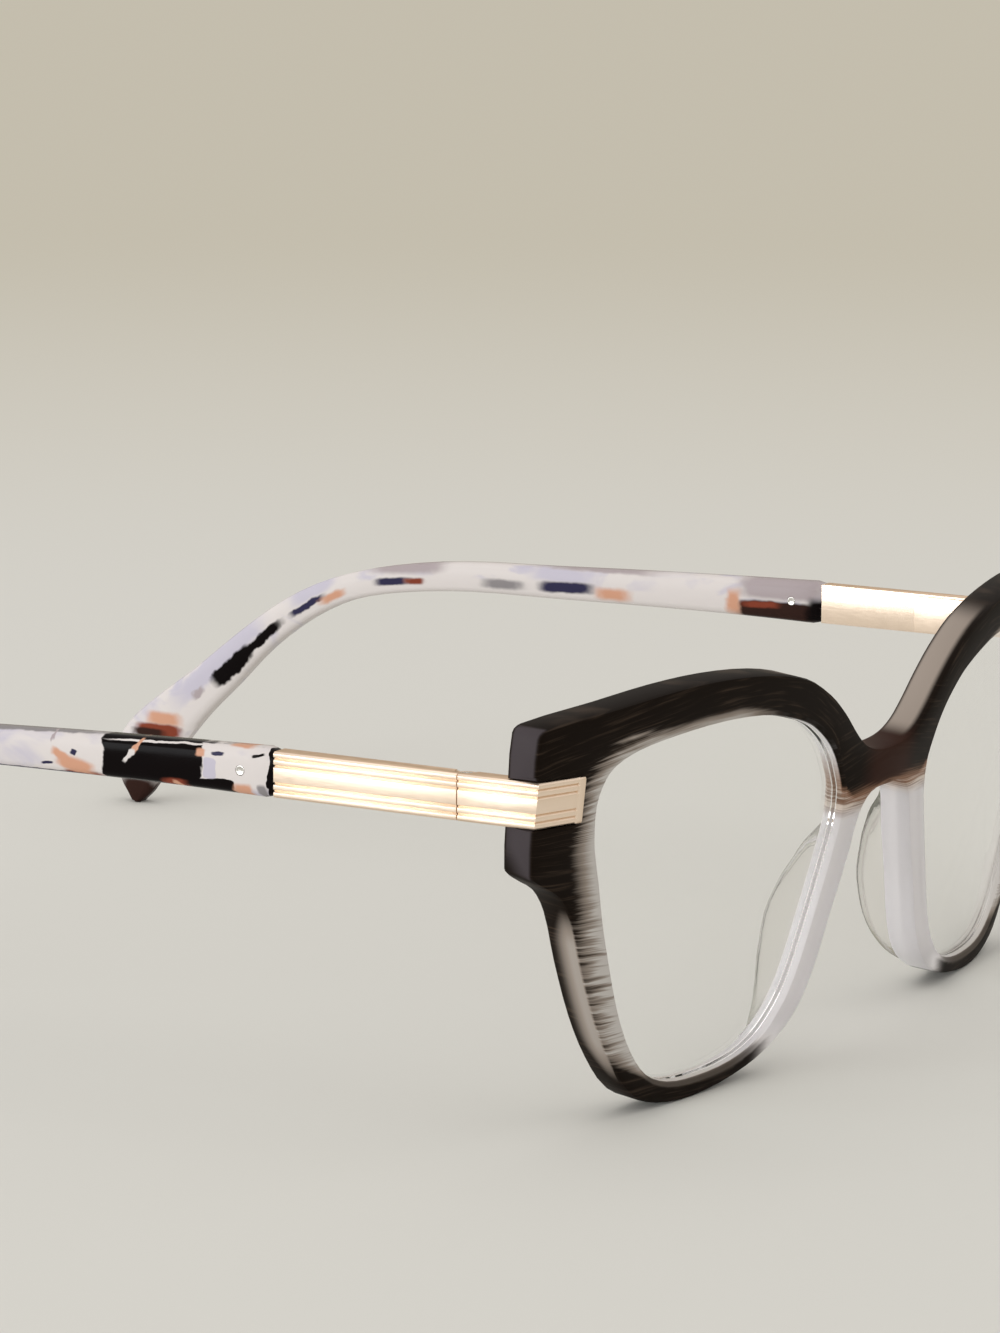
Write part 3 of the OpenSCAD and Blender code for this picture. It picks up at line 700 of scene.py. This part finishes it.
# Patches of each temple end: colour, then in millimetres the place behind its front end, the height
# above the table, half the length and half the height, then the slope in degrees and the softness
PATCHES = {
    "right": (
        ("grey", 30.0, 39.4, 8.5, 0.3, -3, 0.6), ("rust", 24.5, 34.9, 2.6, 0.42, -1, 0.7),
        ("amber", 25.4, 35.9, 2.4, 0.8, 12, 0.7), ("amber", 27.4, 36.8, 1.1, 0.5, 30, 0.8),
        ("navy", 25.7, 37.3, 0.45, 0.32, 20, 0.4), ("navy", 29.2, 35.8, 0.75, 0.16, -5, 0.5),
        ("mauve", 28.3, 39.0, 0.16, 0.75, 12, 0.6), ("navy", 36.0, 34.6, 12.0, 0.3, -1, 0.4),
        ("black", 15.4, 37.3, 6.4, 4.6, 0, 0.04), ("black", 7.2, 35.3, 2.5, 1.05, -4, 0.08),
        # The thin pearl line 14.6 mm behind the front end and 39.55 mm up is a painted highlight along
        # the rounded top edge
        ("pearl", 14.6, 39.55, 6.2, 0.1, -3, 0.4), ("amber", 17.3, 39.0, 1.0, 0.26, -52, 0.5),
        ("pearl", 18.4, 37.7, 0.9, 0.22, -52, 0.5), ("rust", 12.5, 35.3, 1.5, 0.48, 0, 0.8),
        ("amber", 12.2, 35.2, 0.6, 0.26, 20, 0.8), ("lavender", 8.0, 37.4, 0.85, 1.15, 0, 0.15),
        ("amber", 9.3, 39.0, 0.65, 0.42, 0, 0.6), ("navy", 6.9, 39.1, 0.8, 0.2, 0, 0.35),
        ("amber", 3.7, 35.3, 1.15, 0.75, 0, 0.7), ("grey", 1.2, 35.5, 0.55, 0.7, 0, 0.6),
        ("black", 1.7, 39.4, 0.7, 0.16, -15, 0.4), ("black", 11.0, 40.35, 12.5, 0.42, -2, 0.35),
        ("amber", 4.2, 40.3, 1.5, 0.34, 0, 0.7), ("black", 0.1, 37.5, 0.5, 6.0, 0, 0.1),
        ("black", 50.8, 37.5, 3.6, 4.0, 0, 0.1), ("amber", 56.0, 36.2, 1.7, 1.2, 0, 0.7),
        ("navy", 63.8, 35.0, 3.5, 1.0, -8, 0.4), ("mauve", 70.8, 36.0, 3.0, 1.2, 0, 0.8),
        ("black", 81.8, 28.5, 6.5, 1.1, -48, 0.2), ("rust", 88.8, 20.0, 2.6, 0.9, -50, 0.6),
        ("black", 97.8, 13.0, 3.4, 1.2, -60, 0.3), ("amber", 100.8, 6.5, 2.4, 1.5, 0, 0.8),
    ),
    "left": (
        ("mauve", 5.6, 39.1, 6.0, 1.5, -2, 0.5), ("umber", 6.0, 36.0, 6.2, 1.3, -1, 0.35),
        ("rust", 8.6, 36.7, 2.4, 0.4, -3, 0.9), ("black", 0.3, 36.4, 1.6, 1.6, 0, 0.8),
        ("amber", 12.5, 36.7, 0.95, 1.5, 0, 1.0), ("amber", 30.4, 36.1, 2.3, 0.75, 0, 1.1),
        ("lavender", 38.0, 38.0, 4.6, 0.9, 0, 0.8), ("navy", 37.4, 36.4, 3.9, 0.72, -2, 0.6),
        ("mauve", 33.0, 39.3, 8.2, 0.45, -1, 0.9), ("grey", 47.0, 36.0, 2.9, 0.6, -1, 0.9),
        ("mauve", 62.0, 37.3, 5.6, 1.1, -5, 0.7), ("navy", 64.2, 34.9, 2.7, 0.5, -8, 0.7),
        ("rust", 60.6, 35.3, 1.4, 0.42, -5, 0.9), ("lavender", 76.8, 32.6, 3.8, 0.9, -30, 0.8),
        ("navy", 77.6, 30.4, 3.0, 0.45, -31, 0.6), ("amber", 73.6, 32.0, 1.9, 0.5, -26, 1.0),
        ("lavender", 92.0, 21.4, 9.0, 1.5, -43, 0.6), ("black", 85.2, 24.9, 4.4, 0.62, -41, 0.5),
        ("black", 89.6, 20.9, 4.0, 1.15, -42, 0.35), ("mauve", 95.2, 16.6, 1.1, 0.5, -45, 0.8),
        ("amber", 100.8, 12.4, 2.6, 0.9, 0, 0.9), ("rust", 101.6, 10.7, 3.6, 0.9, 0, 0.5),
        ("umber", 103.4, 10.3, 2.6, 0.55, 0, 0.7), ("umber", 105.2, 1.6, 3.2, 2.2, 0, 0.7),
    ),
}


# How far the marbling is pulled out of its place along each axis
MARBLE_PULL = (0, 1.6 * MM, 0.35 * MM)
LAVENDER_CLOUD = (0.5, 0.72)


def marbled_acetate(look, side, start):
    """Pearl acetate with black blocks, amber, rust and navy flecks, and a painted highlight along the top
    edge of the right end
    """
    n = Nodes(side + "_marbled_acetate")
    push = n.vector("SUBTRACT", n.noise(n.mapped(MARBLE_WARP))["Color"], (0.5, 0.5, 0.5))[0]
    place = n.vector("ADD", n.place, n.vector("MULTIPLY", push, MARBLE_PULL)[0])[0]
    cloud = n.noise(n.mapped(MARBLE_CLOUD), detail=3.0, distortion=0.8)["Fac"]
    paint = n.mix(n.step(cloud, *LAVENDER_CLOUD), look.pearl, look.lavender)
    for name, along, height, half_length, half_height, slope, softness in PATCHES[side]:
        scale = (0, 1 / (half_length * MM), 1 / (half_height * MM))
        centre = (0, start + along * MM, height * MM)
        local = n.mapped(scale, -math.radians(slope), centre, place)
        # The fourth root of a sum of fourth powers is 1 round a block with round corners
        squared = n.vector("MULTIPLY", local, local)[0]
        block = n.math("SQRT", n.vector("LENGTH", squared)["Value"])
        cover = n.fade(block, 1 - softness / 2, 1 + softness / 2)
        paint = n.mix(cover, paint, getattr(look, name))
    return n.finish(n.add("BsdfPrincipled", {
        **ACETATE,
        "Base Color": paint,
        "Roughness": n.step(cloud, 0.2, 0.8, first=0.14, last=0.22),
        "Normal": n.bump(cloud, strength=0.05, depth=0.05 * MM),
    }))


# How far from the glasses, in metres, the paper turns to backdrop and the backdrop changes colour
PAPER_ENDS = (0.16, 0.5)
BACKDROP_CHANGES = (0.2, 1.0)
# Heights of the sky, where 1 is overhead, below which polished metal sees the backdrop
LOW_SKY = (0.1, 0.45)


def floor_paper(look):
    """Pale paper that turns to an even, slightly darker backdrop far from the glasses"""
    n = Nodes("floor_paper")
    away = n.vector("LENGTH", n.place)["Value"]
    tooth = n.noise(n.mapped(PAPER_TOOTH))["Fac"]
    paper = n.add("BsdfPrincipled", {
        "Base Color": solid(look.floor),
        "Roughness": 0.9,
        "Specular IOR Level": 0.1,
        "Normal": n.bump(tooth, strength=0.03, depth=0.1 * MM),
    })
    paint = n.mix(n.step(away, *BACKDROP_CHANGES), look.backdrop_near, look.backdrop_far)
    backdrop = n.add("Emission", {"Color": paint, "Strength": 1.0})
    seen = n.seen("Is Camera Ray", "Is Glossy Ray", "Is Transmission Ray")
    cover = n.product(seen, n.step(away, *PAPER_ENDS))
    return n.finish(n.layered(cover, paper, backdrop))


def room(look):
    """Even light all round, where polished metal sees the darker backdrop low down"""
    n = Nodes("room", bpy.data.worlds.new("room"))
    way = n.add("TexCoord").outputs["Generated"]
    height = n.add("SeparateXYZ", {"Vector": way}).outputs[2]
    low = n.product(n.fade(height, *LOW_SKY), n.seen("Is Glossy Ray"))
    paint = n.mix(low, look.sky, look.backdrop_far)
    air = n.add("Background", {"Color": paint, "Strength": look.sky_strength})
    return n.finish(air, "OutputWorld")


def side_body(side):
    """The body of one temple"""
    return side + "_temple"


class GLASSES_OT_stage(bpy.types.Operator):
    """Lays the floor and sets the lights and the camera"""

    bl_idname = "glasses.stage"
    bl_label = "Stage"

    def execute(self, context):
        look = context.scene.glasses_stage
        self.lay_floor(look)
        self.light(
            "window", look.window_power, sides=(2.0, 0.6), place=Vector((-1.9, 1.1, 0.32)),
            tint=(0.94, 0.97, 1.0),
        )
        self.light(
            "top", look.top_power, sides=(1.5, 1.5), place=Vector((-0.2, 0.1, 1.4)),
            tint=(1.0, 0.985, 0.965),
        )
        context.scene.world = room(look)
        self.set_camera(context, look)
        context.scene.view_settings.view_transform = "Standard"
        return {"FINISHED"}

    def lay_floor(self, look):
        """A floor that runs far behind the glasses"""
        bpy.ops.object.select_all(action="DESELECT")
        bpy.ops.mesh.primitive_plane_add(size=12.0)
        floor = bpy.context.active_object
        floor.name = "floor"
        floor.data.materials.append(floor_paper(look))

    def light(self, name, power, sides, place, tint):
        """A soft lamp that points at the table below the middle of the glasses"""
        bpy.ops.object.light_add(type="AREA", location=place)
        lamp = bpy.context.active_object
        lamp.name = name
        lamp.data.energy = power
        lamp.data.shape = "RECTANGLE"
        lamp.data.size, lamp.data.size_y = sides
        lamp.visible_camera = False
        lamp.data.color = tint
        lamp.rotation_euler = place.to_track_quat("Z", "Y").to_euler()

    def set_camera(self, context, look):
        """Turns the camera round a point behind the hinges"""
        target = Vector((0, HINGE_Y + look.look_back, look.look_up))
        turned = (
            Matrix.Rotation(look.azimuth, 4, "Z")
            @ Matrix.Rotation(math.pi / 2 - look.elevation, 4, "X")
            @ Matrix.Rotation(look.roll, 4, "Z")
        )
        bpy.ops.object.camera_add()
        camera = bpy.context.active_object
        back = (turned @ Vector((0, 0, 1, 0))).to_3d()
        camera.matrix_world = Matrix.Translation(target + back * look.reach) @ turned
        camera.data.lens = look.lens
        camera.data.sensor_width = 36.0
        camera.data.clip_start = 0.01
        camera.data.clip_end = 50.0
        context.scene.camera = camera


class GLASSES_OT_front(bpy.types.Operator):
    """Dresses the acetate front and paints its tone from dark to clear"""

    bl_idname = "glasses.front"
    bl_label = "Acetate front"

    def execute(self, context):
        look = context.scene.glasses_acetate
        piece = fitted("front_frame", "acetate_front")
        self.paint_rim(piece, look)
        smooth(piece, degrees=38)
        finished(piece, horn_acetate(look), "front", "dark_acetate", "front_frame")
        return {"FINISHED"}

    def in_plane(self, point, look):
        """Place in the front's own plane: across, up, and depth behind its bent front face"""
        back = point.y - (FRONT_BOX[0].y + look.brow_lead)
        up = point.z * math.cos(look.tilt) - back * math.sin(look.tilt)
        depth = back * math.cos(look.tilt) + point.z * math.sin(look.tilt)
        return abs(point.x), up, depth - point.x ** 2 / (2 * look.wrap)

    def paint_rim(self, piece, look):
        """Stores each point's distance from its lens, its height, and its share of the thickness"""
        glass = [v.co for side in SIDES for v in frame["nodes"][side + "_lens"].data.vertices]
        tree = KDTree(len(glass))
        for index, point in enumerate(glass):
            across, up, depth = self.in_plane(point, look)
            tree.insert((across, up, 0), index)
        tree.balance()
        values = []
        for vertex in piece.data.vertices:
            across, up, depth = self.in_plane(vertex.co, look)
            reach = tree.find((across, up, 0))[2] - look.rim_reach
            values += [max(reach, 0.0), up, min(max(depth / look.thickness, 0.0), 1.0)]
        rim = piece.data.attributes.new("rim", "FLOAT_VECTOR", "POINT")
        rim.data.foreach_set("vector", values)


class GLASSES_OT_lenses(bpy.types.Operator):
    """Polishes the two lenses"""

    bl_idname = "glasses.lenses"
    bl_label = "Lenses"

    def execute(self, context):
        material = lens_glass(context.scene.glasses_clear)
        for side in SIDES:
            piece = fitted(side + "_lens", side + "_lens_glass")
            smooth(piece, degrees=30)
            finished(piece, material, "front", "lens", side + "_lens")
        return {"FINISHED"}


class GLASSES_OT_nose_pads(bpy.types.Operator):
    """Smooths the clear nose pads"""

    bl_idname = "glasses.nose_pads"
    bl_label = "Nose pads"

    def execute(self, context):
        material = pad_acetate(context.scene.glasses_clear)
        for side in SIDES:
            piece = fitted(side + "_nose_pad", side + "_nose_rest")
            smooth(piece, degrees=60)
            finished(piece, material, "front", "clear_pad", side + "_nose_pad")
        return {"FINISHED"}


class GLASSES_OT_gold(bpy.types.Operator):
    """Breaks the edges of the fluted plates, the bars and the hinge leaves, and gilds them"""

    bl_idname = "glasses.gold"
    bl_label = "Gold plates, bars and hinges"

    def execute(self, context):
        look = context.scene.glasses_metal
        material = rose_gold(look)
        for side in SIDES:
            for node, name, body in (
                ("_corner_plate", "_fluted_plate", "front"),
                ("_front_hinge", "_front_barrel", "front"),
                ("_temple_bar", "_fluted_bar", side_body(side)),
                ("_temple_hinge", "_temple_barrel", side_body(side)),
            ):
                piece = flat_sided(side + node, side + name, look.edge)
                finished(piece, material, body, "gold", side + node)
        return {"FINISHED"}


class GLASSES_OT_sleeves(bpy.types.Operator):
    """Smooths the marbled temple ends"""

    bl_idname = "glasses.sleeves"
    bl_label = "Temple ends"

    def execute(self, context):
        look = context.scene.glasses_marble
        for side in SIDES:
            piece = fitted(side + "_temple_sleeve", side + "_marbled_end")
            smooth(piece, degrees=48)
            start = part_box(side + "_temple_sleeve")[0].y
            finished(
                piece, marbled_acetate(look, side, start), side_body(side), "marbled_acetate",
                side + "_temple_sleeve",
            )
        return {"FINISHED"}


class GLASSES_OT_fasteners(bpy.types.Operator):
    """Models the screw heads and rivet heads and finishes the core wires"""

    bl_idname = "glasses.fasteners"
    bl_label = "Screws and rivets"

    # Once the flats are joined, a face with more corners than this is the round end of a pin or head
    END_CORNERS = 20
    # An end with at least this share of the widest one's area is a head
    HEAD_SHARE = 0.9
    # The slot's cutter in widths of the head and in depths of the slot, where half of it is in the head
    CUTTER_LENGTH = 1.5
    CUTTER_HEIGHT = 2
    # The slope of a rivet's dish: its width and its depth as shares of the rim's width
    DISH_SLOPE = 0.5
    DISH_DEPTH = 0.3

    def execute(self, context):
        look = context.scene.glasses_metal
        steel = bright_steel(look)
        for side in SIDES:
            painted(side + "_temple_core", steel)
            for node, name, body, slotted in (
                ("_plate_screws", "_plate_screw_heads", "front", True),
                ("_hinge_screw", "_hinge_screw_head", "front", True),
                ("_temple_rivet", "_rivet_heads", side_body(side), False),
            ):
                piece = fitted(side + node, side + name)
                self.shape_heads(piece, look, slotted)
                finished(piece, steel, body, "screw_steel", side + node)
        return {"FINISHED"}

    def shape_heads(self, piece, look, slotted):
        """Slots each screw's head, or dishes both ends of a rivet, and breaks the edges"""
        flats_joined(piece)
        ends = [f for f in piece.data.polygons if len(f.vertices) > self.END_CORNERS]
        if slotted:
            widest = max(f.area for f in ends)
            heads = [f for f in ends if f.area > widest * self.HEAD_SHARE]
            heads = [(f.center.copy(), f.normal.copy(), f.area) for f in heads]
            for centre, outward, area in heads:
                self.cut_slot(piece, look, centre, outward, 2 * math.sqrt(area / math.pi))
        else:
            self.dish(piece, look, [f.index for f in ends])
        edges_broken(piece, look.edge, degrees=40)
        smooth(piece, degrees=50)

    def cut_slot(self, piece, look, centre, outward, across):
        """Cuts one slot right across a head"""
        bpy.ops.object.select_all(action="DESELECT")
        turned = outward.to_track_quat("Z", "Y").to_euler()
        bpy.ops.mesh.primitive_cube_add(size=1.0, location=centre, rotation=turned)
        cutter = bpy.context.active_object
        cutter.scale = (
            across * look.slot_share, across * self.CUTTER_LENGTH, look.slot_depth * self.CUTTER_HEIGHT
        )
        bpy.context.view_layer.update()
        modified(piece, "BOOLEAN", object=cutter, operation="DIFFERENCE", solver="EXACT")
        bpy.data.objects.remove(cutter)

    def dish(self, piece, look, ends):
        """Sinks the middle of each end inside a raised rim"""
        only(piece)
        bpy.ops.object.mode_set(mode="EDIT")
        bpy.ops.mesh.select_all(action="DESELECT")
        bpy.ops.mesh.select_mode(type="FACE")
        bpy.ops.object.mode_set(mode="OBJECT")
        for index in ends:
            piece.data.polygons[index].select = True
        bpy.ops.object.mode_set(mode="EDIT")
        bpy.ops.mesh.inset(thickness=look.head_rim, use_individual=True)
        slope = look.head_rim * self.DISH_SLOPE
        depth = look.head_rim * self.DISH_DEPTH
        bpy.ops.mesh.inset(thickness=slope, depth=-depth, use_individual=True)
        bpy.ops.object.mode_set(mode="OBJECT")


class GLASSES_PT_panel(bpy.types.Panel):
    """Lists the pieces and their settings in the sidebar"""

    bl_idname = "GLASSES_PT_panel"
    bl_label = "Reading glasses"
    bl_space_type = "VIEW_3D"
    bl_region_type = "UI"
    bl_category = "Glasses"

    def draw(self, context):
        for operator in OPERATORS:
            self.layout.operator(operator.bl_idname)
        for name in GROUPS:
            box = self.layout.box()
            group = getattr(context.scene, name)
            for key in group.__annotations__:
                box.prop(group, key)


GROUPS = {
    "glasses_stage": GlassesStage,
    "glasses_acetate": GlassesAcetate,
    "glasses_metal": GlassesMetal,
    "glasses_marble": GlassesMarble,
    "glasses_clear": GlassesClear,
}
OPERATORS = (
    GLASSES_OT_stage, GLASSES_OT_front, GLASSES_OT_lenses, GLASSES_OT_nose_pads,
    GLASSES_OT_gold, GLASSES_OT_sleeves, GLASSES_OT_fasteners,
)


def register():
    """Makes the settings, the operators and the panel known"""
    for group in GROUPS.values():
        bpy.utils.register_class(group)
    for cls in (*OPERATORS, GLASSES_PT_panel):
        bpy.utils.register_class(cls)
    for name, group in GROUPS.items():
        setattr(bpy.types.Scene, name, bpy.props.PointerProperty(type=group))


def unregister():
    """Takes them away again"""
    for name in GROUPS:
        delattr(bpy.types.Scene, name)
    for cls in (GLASSES_PT_panel, *reversed(OPERATORS), *reversed(list(GROUPS.values()))):
        bpy.utils.unregister_class(cls)


def main():
    """Makes the stage and every piece"""
    register()
    bpy.ops.object.select_all(action="DESELECT")
    bpy.ops.glasses.stage()
    bpy.ops.glasses.front()
    bpy.ops.glasses.lenses()
    bpy.ops.glasses.nose_pads()
    bpy.ops.glasses.gold()
    bpy.ops.glasses.sleeves()
    bpy.ops.glasses.fasteners()


if __name__ == "__main__":
    main()
